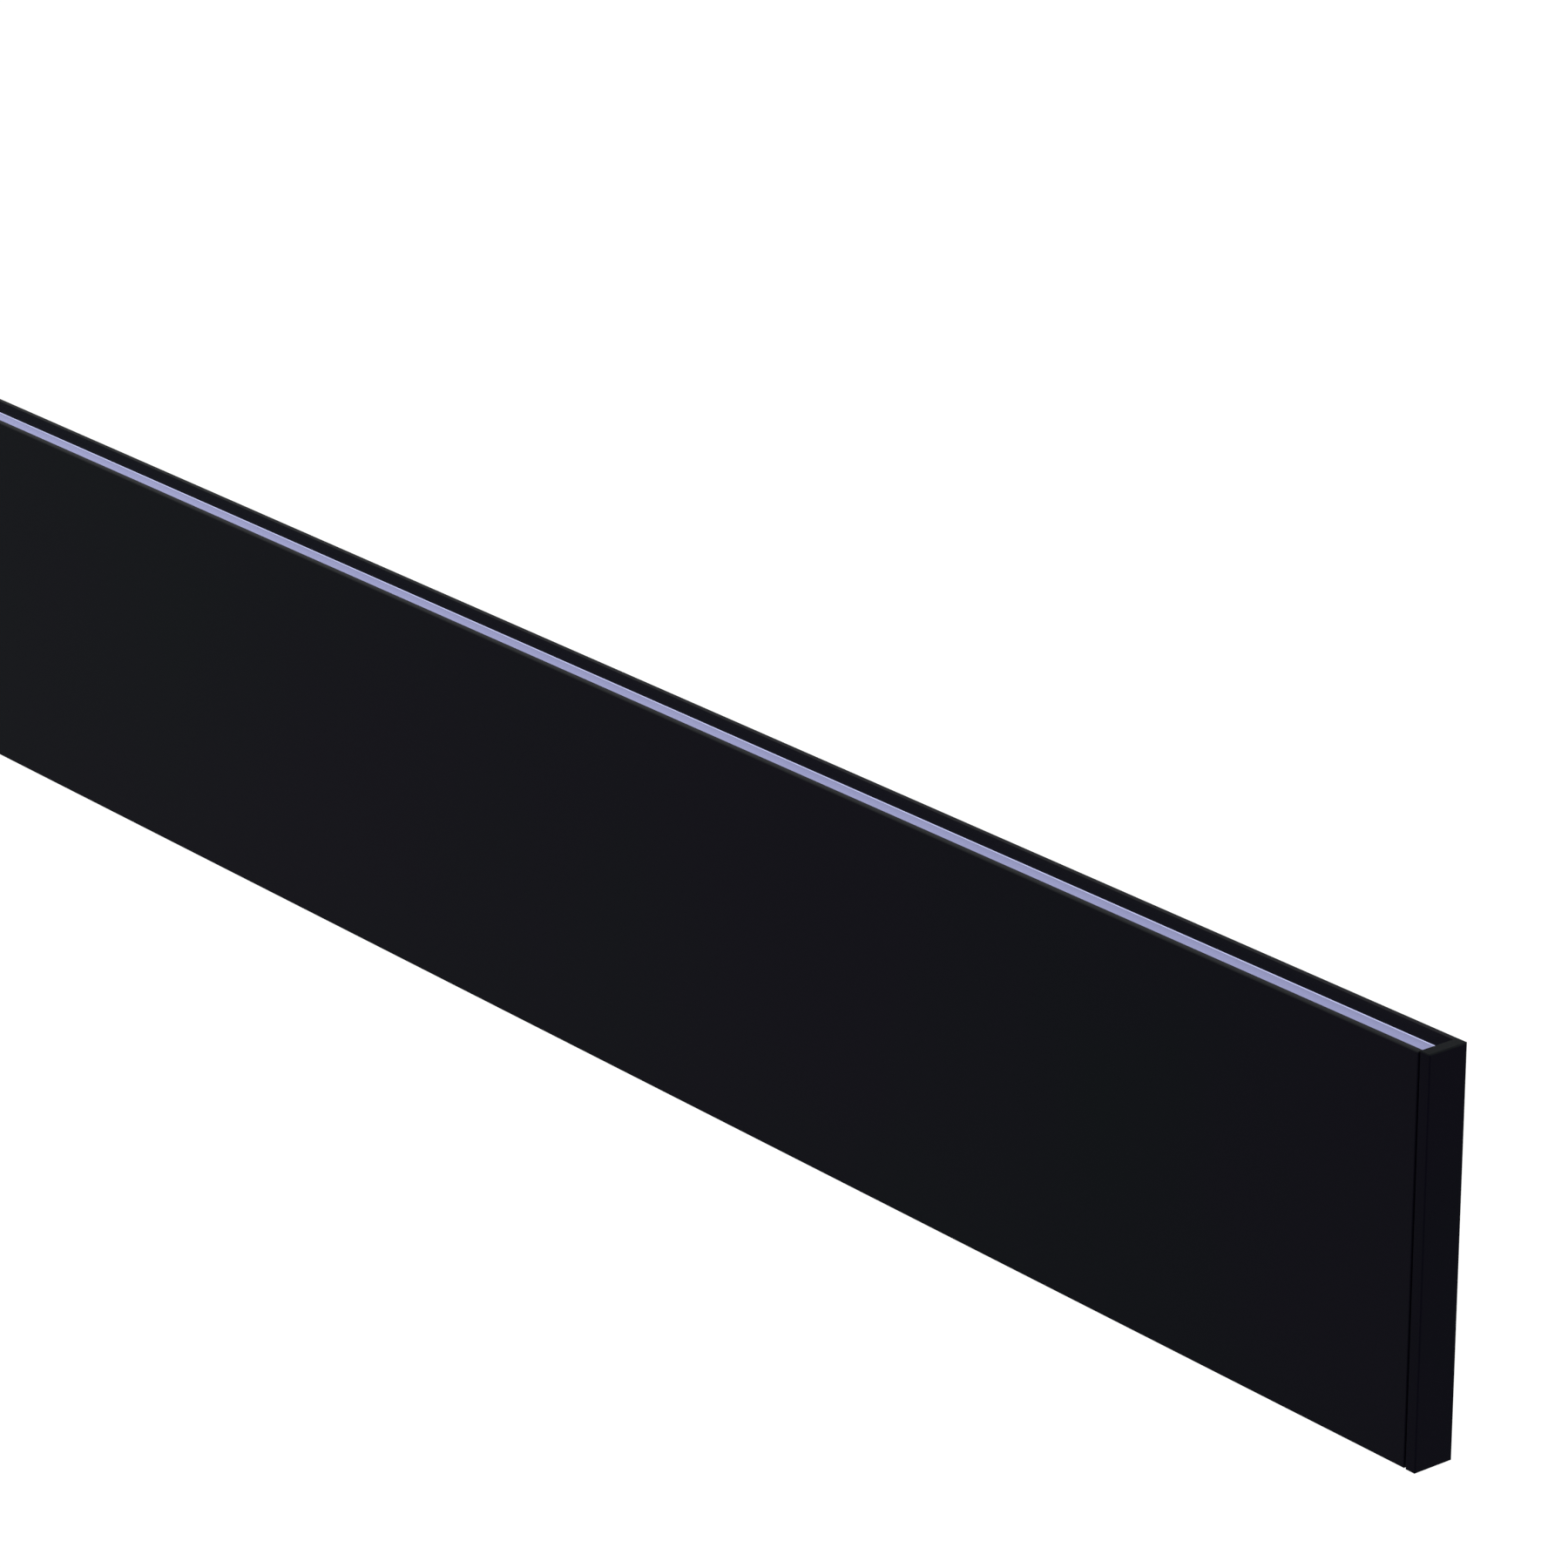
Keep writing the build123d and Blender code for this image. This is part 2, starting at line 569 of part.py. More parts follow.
def lead(points, radius):
    """A wire along points, rounded at each as far as its two runs allow."""
    points = [Vector(*p) for p in points]
    runs = [b - a for a, b in zip(points, points[1:])]
    radii = []
    for before, after in zip(runs, runs[1:]):
        half_turn = radians(before.get_angle(after) / 2)
        radii.append(0.45 * min(before.length, after.length) / tan(half_turn))
    path = FilletPolyline(*points, radius=radii)
    section = Plane(origin=points[0], z_dir=runs[0]) * Circle(radius)
    wire = sweep(section, path=path)
    expected = path.length * section.area
    print(f"lead {path.length:.0f} mm, volume {wire.volume / expected:.4f} of section times length,"
          f" least radius {min(radii):.1f}")
    return wire


def light_lead(row, column):
    """One lead from the driver to a board connector: row is +1 for the upper trough and -1 for the lower,
    column is +1 or -1 for the two wires of a pair."""
    a, b = row * pair_offset, column * pair_offset
    through = grommet_x + grommet_offset - b
    depth = connector_y + b
    end = row * shelf_top
    return lead([
        (driver_right, low_volt_y + a, low_volt_z + b),
        (through, low_volt_y + a, low_volt_z + b),
        (through, low_volt_y + a, grommet_z + a),
        (through, depth, grommet_z + a),
        (40, depth, grommet_z + a + row * 4),
        (14, depth, row * 24 + 2),
        (0, depth, end - row * 9),
        (0, depth, end),
    ], lead_radius)


def mains_lead(pole):
    """The driver's live (0) or neutral (1) lead, looped up to its pole of the terminal block."""
    y, z = mains_out[pole]
    out = (-81.0, -75.5)[pole]
    over = (-1.2, -4.3)[pole]
    x = pole_x[pole]
    return lead([(driver_left, y, z), (out, y, z), (out, y - 1, over), (x, terminal_wire_y, over),
                 (x, terminal_wire_y, terminal_bottom)], mains_radius)


def earth_lead():
    """The lead from the terminal block's earth pole to the ring terminal."""
    x = pole_x[2]
    y = box_front_inner + earth_barrel_radius
    return lead([(x, terminal_wire_y, terminal_bottom), (x, terminal_wire_y, 0), (-31, -17, -3.5),
                 (earth_x, y, -2), (earth_x, y, earth_barrel_end)], mains_radius)


# ---- every node ----------------------------------------------------------------------------------
os.makedirs("parts", exist_ok=True)

save("back_channel", back_channel())
save("front_cover", front_cover())
for name, side in (("left", -1), ("right", 1)):
    save(f"end_cap_{name}", end_cap(side))
    save(f"lock_screw_{name}", lock_screw(side))
    save(f"lock_washer_{name}", lock_washer(side))
save("lock_nuts", *[lock_nut(side) for side in (-1, 1)])
save("end_cap_screws", *[flat_screw((x, bar_back, z), (0, -1, 0), cap_screw_radius, cap_screw_length,
                                    cap_screw_head) for x, z in cap_screw_places])

trough_nodes = {
    "diffuser": [diffuser()],
    "light_boards": light_boards(),
    "board_tape": board_tape(),
    "light_chips": light_chips(),
    "board_connector": [board_connector()],
}
for node, solids in trough_nodes.items():
    save(f"upper_{node}", *solids)
    save(f"lower_{node}", *[mirror(solid, about=Plane.XY) for solid in solids])
for name, row in (("upper", 1), ("lower", -1)):
    save(f"{name}_lead_red", light_lead(row, 1))
    save(f"{name}_lead_black", light_lead(row, -1))

save("back_box", back_box())
save("back_box_screws", *[pan_screw((x, box_front_inner, z), (0, -1, 0), box_screw_radius, box_screw_length,
                                    box_screw_head, box_screw_head_height) for x, z in box_screw_places])
save("hanger_rail", hanger_rail())
save("hanger_rivets", *[hanger_rivet(x) for x in hanger_rivet_x])
save("wire_grommet", wire_grommet())
save("wall_bracket", wall_bracket())
save("ground_screw", ground_screw())
save("driver_case", driver_shell())
save("driver_lid", driver_lid())
save("driver_board", driver_board())
save("driver_components", *driver_components())
save("driver_screws", *small_screws())
save("terminal_block", terminal_block())
save("terminal_screws", *terminal_screws())
save("earth_ring", earth_eye())
save("earth_screw", earth_screw())
save("mains_lead_live", mains_lead(0))
save("mains_lead_neutral", mains_lead(1))
save("earth_lead", earth_lead())
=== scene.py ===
# %% [markdown]
# # A slim vanity light bar
#
# This is a wall light for above a mirror: a long, flat, blue-black bar that shines up and down through
# sunken opal strips.  A packed CAD model already gives every piece its size and place.  Here the pieces get
# what CAD leaves out: soft edges that catch the light, powder coat, zinc, moulded plastic, and a quiet
# studio.

# %% Load the CAD model
import json
import math

import bmesh
import bpy
from mathutils import Matrix, Vector


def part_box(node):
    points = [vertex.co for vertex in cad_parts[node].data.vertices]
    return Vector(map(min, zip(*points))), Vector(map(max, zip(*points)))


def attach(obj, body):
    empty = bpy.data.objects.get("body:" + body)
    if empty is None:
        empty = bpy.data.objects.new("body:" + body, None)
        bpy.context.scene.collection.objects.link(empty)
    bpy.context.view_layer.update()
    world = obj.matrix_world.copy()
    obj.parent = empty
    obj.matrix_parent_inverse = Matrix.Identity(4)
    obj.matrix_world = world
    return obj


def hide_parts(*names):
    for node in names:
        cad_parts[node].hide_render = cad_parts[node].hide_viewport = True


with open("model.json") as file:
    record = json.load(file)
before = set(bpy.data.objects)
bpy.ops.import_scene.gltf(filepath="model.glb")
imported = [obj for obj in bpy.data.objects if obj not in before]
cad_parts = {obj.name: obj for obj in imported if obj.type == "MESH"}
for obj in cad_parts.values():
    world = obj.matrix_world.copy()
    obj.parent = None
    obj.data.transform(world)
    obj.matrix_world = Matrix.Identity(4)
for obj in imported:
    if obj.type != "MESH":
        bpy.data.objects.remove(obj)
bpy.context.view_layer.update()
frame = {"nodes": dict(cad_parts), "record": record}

MM = 0.001

# %% [markdown]
# ## Camera
#
# The camera comes first, because everything is judged through it.  It looks at the right-hand end of the
# bar from above and far away, through a long lens, so the bar's long edges barely converge and its far end
# runs out of the view.  Its place is written in bar heights from the lower front corner of the right end
# cap: a distance given that way stays right if the bar's size changes.

# %% Place the camera
SENSOR_WIDTH, FOCAL_LENGTH = 36, 158.3
CAMERA_TURN, CAMERA_TILT = math.radians(51.45), math.radians(20.8)
CAMERA_PLACE = Vector((9.781, -9.565, 6.791))
FARTHEST_SEEN = 200

cap_low, cap_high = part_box("end_cap_right")
bar_height = cap_high.z - cap_low.z
near_corner = Vector((cap_high.x, cap_low.y, cap_low.z))
camera_data = bpy.data.cameras.new("camera")
camera_data.sensor_width = SENSOR_WIDTH
camera_data.lens = FOCAL_LENGTH
camera_data.clip_end = FARTHEST_SEEN
camera = bpy.data.objects.new("camera", camera_data)
camera.location = near_corner + CAMERA_PLACE * bar_height
camera.rotation_euler = (math.pi / 2 - CAMERA_TILT, 0, CAMERA_TURN)
bpy.context.scene.collection.objects.link(camera)
bpy.context.scene.camera = camera
print("camera is", round((camera.location - near_corner).length, 2), "m from the near corner")

# %% [markdown]
# ## Studio
#
# The light hangs on a wall at head height or above, so the floor is far below it.  A pale floor under an
# even white sky gives the shadowless white surround of a studio sweep.  The floor is quite matt and glows a
# little, so that it is hardly darker than the sky.

# %% Lay the floor
FLOOR_DROP, FLOOR_SIZE = 4.7, 240.0
PALE_FLOOR = {"Base Color": (0.8, 0.8, 0.8, 1), "Roughness": 0.9, "Specular IOR Level": 0.0,
              "Emission Color": (1, 1, 1, 1), "Emission Strength": 0.25}

floor_mesh = bpy.data.meshes.new("floor")
build = bmesh.new()
bmesh.ops.create_grid(build, x_segments=1, y_segments=1, size=FLOOR_SIZE / 2,
                      matrix=Matrix.Translation((0, 0, -FLOOR_DROP)))
build.to_mesh(floor_mesh)
build.free()
floor = bpy.data.objects.new("floor", floor_mesh)
bpy.context.scene.collection.objects.link(floor)
pale = bpy.data.materials.new("pale_floor")
pale.use_nodes = True
for socket, value in PALE_FLOOR.items():
    pale.node_tree.nodes["Principled BSDF"].inputs[socket].default_value = value
floor_mesh.materials.append(pale)
print("floor is", FLOOR_DROP, "m below the bar and", FLOOR_SIZE, "m wide")

# %% [markdown]
# ## Light
#
# An even sky alone would give each flat face a single tone.  A soft lamp over the far end makes the near
# end a little darker, and a weak one behind keeps the back of the bar from having a single tone.

# %% Make the sky and the lamps


def soft_lamp(name, place, aim, size, power):
    """A large square lamp at place that faces aim."""
    data = bpy.data.lights.new(name, "AREA")
    data.size = size
    data.energy = power
    lamp = bpy.data.objects.new(name, data)
    lamp.location = place
    lamp.rotation_euler = (Vector(aim) - Vector(place)).to_track_quat("-Z", "Y").to_euler()
    bpy.context.scene.collection.objects.link(lamp)
    print("lamp", name, "gives", power, "W over", size, "m")


sky = bpy.data.worlds.new("studio")
sky.use_nodes = True
sky.node_tree.nodes["Background"].inputs["Color"].default_value = (1.0, 1.0, 1.0, 1)
sky.node_tree.nodes["Background"].inputs["Strength"].default_value = 1.0
bpy.context.scene.world = sky
bpy.context.scene.view_settings.view_transform = "Standard"
soft_lamp("far_end", place=(-1.5, -0.4, 1.3), aim=(-0.2, 0, 0), size=1.2, power=15)
soft_lamp("behind", place=(1.2, 2.0, 1.0), aim=(0, 0, 0), size=1.5, power=14)

# %% [markdown]
# ## Writing shader maths as expressions
#
# A pattern is a formula over a surface.  Wiring Math nodes by hand hides the formula, so a small class
# wraps a socket and turns `+`, `-`, `*` and `/` into nodes.  The reflected forms of the operators let a
# plain number stand on the left, as in `1 - mask`.

# %% Define the socket class


class Value:
    """A socket that carries one number, with arithmetic that adds Math nodes."""

    def __init__(self, tree, socket):
        self.tree, self.socket = tree, socket

    def maths(self, operation, other, swapped=False, clamp=False):
        made = self.tree.nodes.new("ShaderNodeMath")
        made.operation = operation
        made.use_clamp = clamp
        for slot, value in zip((1, 0) if swapped else (0, 1), (self, other)):
            if isinstance(value, Value):
                self.tree.links.new(value.socket, made.inputs[slot])
            else:
                made.inputs[slot].default_value = value
        return Value(self.tree, made.outputs[0])

    def __add__(self, other):
        return self.maths("ADD", other)

    __radd__ = __add__

    def __mul__(self, other):
        return self.maths("MULTIPLY", other)

    __rmul__ = __mul__

    def __sub__(self, other):
        return self.maths("SUBTRACT", other)

    def __rsub__(self, other):
        return self.maths("SUBTRACT", other, swapped=True)

    def __truediv__(self, other):
        return self.maths("DIVIDE", other)

    def __rtruediv__(self, other):
        return self.maths("DIVIDE", other, swapped=True)

    def above(self, level, softness):
        """0 below level and 1 above level plus softness, with a straight ramp between."""
        return ((self - level) / softness).maths("ADD", 0.0, clamp=True)


print("Value overloads", [name for name in vars(Value) if name.startswith("__r")], "and their plain forms")

# %% [markdown]
# ## One maker for every material
#
# `Finish` makes one material around its Principled shader.  Its `node` method makes any other kind of node
# from its type, its settings and what its sockets hold, so a whole material reads as a few lines.  Every
# pattern starts from `place`, the point on the surface in the piece's own metres, so grain keeps its true
# size.

# %% Define the material maker
EVEN = (1, 1, 1)


class Finish:
    """One material: a Principled shader and the nodes that feed it."""

    def __init__(self, name, **constants):
        self.material = bpy.data.materials.new(name)
        self.material.use_nodes = True
        self.tree = self.material.node_tree
        self.shader = self.tree.nodes["Principled BSDF"]
        for socket, value in constants.items():
            self.shader.inputs[socket.replace("_", " ")].default_value = value
        self.place = self.node("ShaderNodeTexCoord", output="Object")

    def node(self, kind, settings=None, output=0, **inputs):
        """Adds a node and gives one of its outputs.

        The settings are set first.  The inputs are numbers, colours, Values or sockets, by the socket's
        name, or by an underscore and the socket's number where several sockets have the same name.
        """
        made = self.tree.nodes.new(kind)
        for key, value in (settings or {}).items():
            setattr(made, key, value)
        for key, value in inputs.items():
            number = key[1:]
            self.feed(made.inputs[int(number) if number.isdigit() else key.replace("_", " ")], value)
        return made.outputs[output]

    def feed(self, socket, value):
        if isinstance(value, Value):
            value = value.socket
        if isinstance(value, bpy.types.NodeSocket):
            self.tree.links.new(value, socket)
        else:
            socket.default_value = value

    def value(self, kind, settings=None, output=0, **inputs):
        """The same as node, for an output that carries one number."""
        return Value(self.tree, self.node(kind, settings, output, **inputs))

    def noise(self, scale, detail=2.0, roughness=0.5, stretch=EVEN):
        """Noise over the piece, scale features per metre, stretched along each axis."""
        vector = self.place
        if stretch != EVEN:
            vector = self.node("ShaderNodeMapping", Vector=self.place, Scale=stretch)
        return self.value("ShaderNodeTexNoise", Vector=vector, Scale=scale, Detail=detail,
                          Roughness=roughness)

    def wobble(self, scale):
        """A smoothly varying vector, for bending another pattern."""
        return self.node("ShaderNodeTexNoise", output="Color", Vector=self.place, Scale=scale)

    def along(self, axis):
        """The place along one axis, in metres."""
        return self.value("ShaderNodeSeparateXYZ", output=axis, Vector=self.place)

    def mix(self, factor, first, second):
        """A colour between first and second, which are sockets or have a red, a green and a blue part."""
        first, second = ((*side, 1.0) if isinstance(side, tuple) else side for side in (first, second))
        return self.node("ShaderNodeMix", {"data_type": "RGBA"}, output=2, _0=factor, _6=first, _7=second)

    def set(self, socket, value):
        self.feed(self.shader.inputs[socket], value)

    def bump(self, height, distance):
        """Raises the surface by distance metres where height is 1."""
        self.set("Normal", self.node("ShaderNodeBump", Height=height, Distance=distance, Strength=1.0))


sample = Finish("sample")
sample.set("Roughness", 1 - 0.5 * sample.noise(100))
print("1 - 0.5 * noise takes", [node.name for node in sample.tree.nodes][2:])
bpy.data.materials.remove(sample.material)

# %% [markdown]
# ## Powder coat
#
# The bar is aluminium under a dead-matt powder coat.  Powder is sprayed dry and baked until it flows, so
# the skin is never quite flat: it keeps a fine orange-peel texture about half a millimetre across, with a
# slower unevenness under it.  A matt coat also throws back very little light head-on, which is why its
# specular level is low; what remains brightens the surfaces that are seen at a low angle, such as the rims.
# A painted highlight makes the coat a little paler just under the top edges of the cover and the end caps,
# where their rounded edges catch the light from above.

# %% Make the powder coat
COAT_TEAL, COAT_VIOLET = (0.0010, 0.0021, 0.0034), (0.0018, 0.0015, 0.0044)
PEEL_PER_METRE, FLOW_PER_METRE, CLOUDS_PER_METRE = 1900, 160, 7
VIOLET_ABOVE, VIOLET_BLEND = 0.4, 0.3
COAT_ROUGHNESS = 0.46
# Height and blend of the painted highlight just under a top edge.
HIGHLIGHT_HEIGHT, HIGHLIGHT_BAND = 0.5 * MM, 0.3 * MM


def lifted(tint, lift):
    """The tint with lift added to each of its parts."""
    return tuple(part + lift for part in tint)


def powder_coat(name, shine=0.025, lift=0.0, peel_depth=0.012 * MM, highlight_below=None, highlight_lift=0.0):
    """A black coat.

    shine is its specular level, and lift makes it paler.  When the height of the piece's top edge is given,
    a painted highlight just under that edge uses a paler lift of its own instead.
    """
    coat = Finish(name, Specular_IOR_Level=shine)
    peel = coat.noise(PEEL_PER_METRE, detail=3.0)
    flow = coat.noise(FLOW_PER_METRE, detail=2.0)
    cloud = coat.noise(CLOUDS_PER_METRE, detail=3.0)
    hue = (cloud + 0.15 * flow).above(VIOLET_ABOVE, VIOLET_BLEND)
    base = coat.mix(hue, lifted(COAT_TEAL, lift), lifted(COAT_VIOLET, lift))
    # The mask below is a painted highlight: a paler band just under the top edge, standing for light caught
    # by the rounded edge.
    if highlight_below is not None:
        thin = coat.along("Z").above(highlight_below - HIGHLIGHT_HEIGHT, HIGHLIGHT_BAND)
        base = coat.mix(thin, base, lifted(COAT_TEAL, highlight_lift))
    coat.set("Base Color", base)
    coat.set("Roughness", COAT_ROUGHNESS + 0.10 * peel + 0.06 * cloud)
    coat.bump(0.7 * peel + 0.3 * flow, distance=peel_depth)
    return coat.material


print("orange peel is about", round(1 / PEEL_PER_METRE / MM, 2), "mm across")

# %% [markdown]
# ## Opal strip
#
# The diffuser is extruded acrylic with a white pigment that scatters the light of the chips below it.
# Unlit, it looks like frosted glass: a soft, cool, milky colour with a slightly uneven density and a very
# Painted highlights make its rear and front edges brighter than the middle, and painted light brightens it
# towards the rear, where the back wall shades it.  A small emission paints this light, though the strip is
# unlit.

# %% Make the opal plastic
OPAL_THIN, OPAL_DENSE = (0.265, 0.275, 0.50), (0.31, 0.32, 0.55)
DENSITY_PER_METRE, FROST_PER_METRE = 26, 2600
# Colour and strengths of the painted light: a lift towards the rear, where the back wall shades the strip,
# and highlights on its rear and front edges.
PAINTED_GLOW_COLOUR = (0.42, 0.44, 0.62)
GLOW_TOWARD_REAR, REAR_HIGHLIGHT, FRONT_HIGHLIGHT = 0.18, 0.9, 0.25
EDGE_WIDTH, FROST_DEPTH = 0.35 * MM, 0.006 * MM


def opal_plastic():
    lens_low, lens_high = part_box("upper_diffuser")
    opal = Finish("opal", Specular_IOR_Level=0.3, Emission_Strength=1.0)
    density = opal.noise(DENSITY_PER_METRE, detail=2.0, stretch=(1, 4, 4))
    frost = opal.noise(FROST_PER_METRE, detail=2.0)
    opal.set("Base Color", opal.mix(density, OPAL_THIN, OPAL_DENSE))
    # The emission built below is painted light: brighter towards the rear against the back wall's shade,
    # with painted highlights along the rear and front edges.
    depth = opal.along("Y")
    lift_toward_rear = depth.above(lens_low.y, lens_high.y - lens_low.y)
    rear_highlight_mask = depth.above(lens_high.y - 2 * EDGE_WIDTH, EDGE_WIDTH)
    front_highlight_mask = 1 - depth.above(lens_low.y, EDGE_WIDTH)
    painted_glow = GLOW_TOWARD_REAR * lift_toward_rear + REAR_HIGHLIGHT * rear_highlight_mask + FRONT_HIGHLIGHT * front_highlight_mask
    opal.set("Emission Color", opal.mix(painted_glow, (0, 0, 0), PAINTED_GLOW_COLOUR))
    opal.set("Roughness", 0.5 + 0.12 * frost)
    opal.bump(frost, distance=FROST_DEPTH)
    return opal.material


print("the strip's bright front edge is", round(EDGE_WIDTH / MM, 2), "mm wide")

# %% [markdown]
# ## Zinc, tin, brass and black oxide
#
# Sheet steel is dipped in molten zinc, which freezes into flat crystals, so the bracket and the hanger rail
# show a patchwork of slightly different greys called spangle.  Voronoi cells are the natural pattern for
# it: each cell gets one shade and one lustre.  Screws are plated instead, which leaves a soft cloudy tone
# with faint long streaks from the drawn wire, and the thumb screws are blackened in hot oxide.

# %% Make the metals
SPANGLE_PER_METRE, ROLLED_PER_METRE, CLOUDY_PER_METRE = 130, 90, 45
BENDS_PER_METRE, BEND_REACH = 70, (6 * MM,) * 3
DRAWN = (1, 14, 14)
METAL_RELIEF = 0.006 * MM


def galvanised(name, light, dark, roughness):
    """Zinc crystals on rolled sheet."""
    zinc = Finish(name, Metallic=1.0)
    bent = zinc.node("ShaderNodeVectorMath", {"operation": "MULTIPLY_ADD"}, _0=zinc.wobble(BENDS_PER_METRE),
                     _1=BEND_REACH, _2=zinc.place)
    cells = zinc.node("ShaderNodeTexVoronoi", output="Color", Vector=bent, Scale=SPANGLE_PER_METRE)
    crystal = zinc.value("ShaderNodeSeparateColor", Color=cells)
    lustre = zinc.value("ShaderNodeSeparateColor", output=1, Color=cells)
    rolled = zinc.noise(ROLLED_PER_METRE, detail=4.0, roughness=0.6, stretch=DRAWN)
    zinc.set("Base Color", zinc.mix(0.65 * crystal + 0.35 * rolled, dark, light))
    zinc.set("Roughness", roughness + 0.14 * lustre + 0.05 * rolled)
    zinc.bump(0.6 * crystal + 0.4 * rolled, distance=METAL_RELIEF)
    return zinc.material


def plated(name, light, dark, roughness, streaks=DRAWN):
    """A thin plating, with streaks along X where the metal was drawn."""
    metal = Finish(name, Metallic=1.0)
    rolled = metal.noise(ROLLED_PER_METRE, detail=4.0, roughness=0.6, stretch=streaks)
    cloud = metal.noise(CLOUDY_PER_METRE, detail=3.0)
    metal.set("Base Color", metal.mix(0.5 * rolled + 0.5 * cloud, dark, light))
    metal.set("Roughness", roughness + 0.12 * rolled + 0.06 * cloud)
    metal.bump(rolled, distance=METAL_RELIEF)
    return metal.material


print("zinc crystals are about", round(1 / SPANGLE_PER_METRE / MM, 1), "mm across")

# %% [markdown]
# ## Moulded plastic, rubber and insulation
#
# Moulded parts copy the finely blasted surface of their mould.  One maker covers them all: it takes a
# colour, a roughness and the depth of the blasted grain, and darkens the colour a little where the grain is
# low.

# %% Make the plastics
GRAIN_PER_METRE, TONE_PER_METRE = 1400, 60
LOW_GRAIN_SHADE = 0.8


def moulded(name, tint, roughness, grain_depth=0.01 * MM):
    plastic = Finish(name, Specular_IOR_Level=0.4)
    grain = plastic.noise(GRAIN_PER_METRE, detail=2.0)
    tone = plastic.noise(TONE_PER_METRE, detail=2.0)
    shade = tuple(LOW_GRAIN_SHADE * part for part in tint)
    plastic.set("Base Color", plastic.mix(0.6 * grain + 0.4 * tone, shade, tint))
    plastic.set("Roughness", roughness + 0.12 * grain)
    plastic.bump(grain, distance=grain_depth)
    return plastic.material


print("blasted grain is about", round(1 / GRAIN_PER_METRE / MM, 2), "mm across")

# %% [markdown]
# ## Circuit boards
#
# Solder mask is a thin lacquer over copper, so the copper tracks show as slightly raised, slightly
# different bands.  A sine wave over the board gives evenly spaced bands.  On the light boards the tracks
# run along the strip.  On the driver's board they run at a slant, and noise bends them.

# %% Make the boards
TRACK_WAVE, TRACK_RELIEF = 2200, 0.03 * MM
TRACK_ABOVE, TRACK_BLEND = 0.1, 0.15
SWERVES_PER_METRE, LACQUER_PER_METRE = 220, 900


def solder_mask(name, lacquer, over_copper, bent=False):
    mask = Finish(name, Specular_IOR_Level=0.5)
    lines = mask.along("Y") * TRACK_WAVE
    if bent:
        lines = lines + mask.along("Z") * TRACK_WAVE + 1.5 * mask.noise(SWERVES_PER_METRE)
    track = lines.maths("SINE", 0.0).above(TRACK_ABOVE, TRACK_BLEND)
    mask.set("Base Color", mask.mix(track, lacquer, over_copper))
    mask.set("Roughness", 0.35 + 0.1 * mask.noise(LACQUER_PER_METRE))
    mask.bump(track, distance=TRACK_RELIEF)
    return mask.material


print("copper tracks are", round(2 * math.pi / TRACK_WAVE / MM, 1), "mm apart")

# %% [markdown]
# ## Which finish goes where
#
# The record names a material slot for every piece, so most finishes are looked up by that name.  Some
# pieces share a slot but not a finish: the channel, the cover and the end caps differ a little in tone, the
# thumb screws and the end caps' screws are blackened, and the bracket and its rail are galvanised.  Those
# are listed by piece.

# %% Make a finish for every slot
FINISHES = {
    "black_aluminium": powder_coat("black_aluminium"),
    "black_steel": powder_coat("black_steel", shine=0.06, lift=0.009, peel_depth=0.018 * MM),
    "opal": opal_plastic(),
    "zinc": plated("zinc", (0.62, 0.62, 0.60), (0.45, 0.46, 0.46), roughness=0.30),
    "tin": plated("tin", (0.74, 0.74, 0.72), (0.60, 0.60, 0.58), roughness=0.22, streaks=EVEN),
    "brass": plated("brass", (0.80, 0.60, 0.28), (0.62, 0.44, 0.18), roughness=0.25, streaks=EVEN),
    "green_screw": plated("green_screw", (0.06, 0.42, 0.14), (0.03, 0.28, 0.08), roughness=0.3),
    "white_board": solder_mask("white_board", (0.84, 0.84, 0.80), (0.74, 0.75, 0.72)),
    "green_board": solder_mask("green_board", (0.02, 0.16, 0.05), (0.05, 0.30, 0.10), bent=True),
    "phosphor": moulded("phosphor", (0.85, 0.68, 0.22), roughness=0.45),
    "tape": moulded("tape", (0.50, 0.52, 0.55), roughness=0.75),
    "white_plastic": moulded("white_plastic", (0.80, 0.80, 0.77), roughness=0.35),
    "case_plastic": moulded("case_plastic", (0.72, 0.72, 0.70), roughness=0.5, grain_depth=0.03 * MM),
    "components": moulded("components", (0.03, 0.03, 0.035), roughness=0.35),
    "red_wire": moulded("red_wire", (0.55, 0.02, 0.015), roughness=0.35),
    "black_wire": moulded("black_wire", (0.012, 0.012, 0.013), roughness=0.35),
    "white_wire": moulded("white_wire", (0.78, 0.78, 0.75), roughness=0.35),
    "green_wire": moulded("green_wire", (0.02, 0.30, 0.06), roughness=0.35),
    "rubber": moulded("rubber", (0.015, 0.015, 0.016), roughness=0.7),
    "nylon": moulded("nylon", (0.68, 0.67, 0.61), roughness=0.4),
}
print(len(FINISHES), "finishes by slot")

# %% Make the finishes of single pieces
cover_top, cap_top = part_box("front_cover")[1].z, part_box("end_cap_right")[1].z
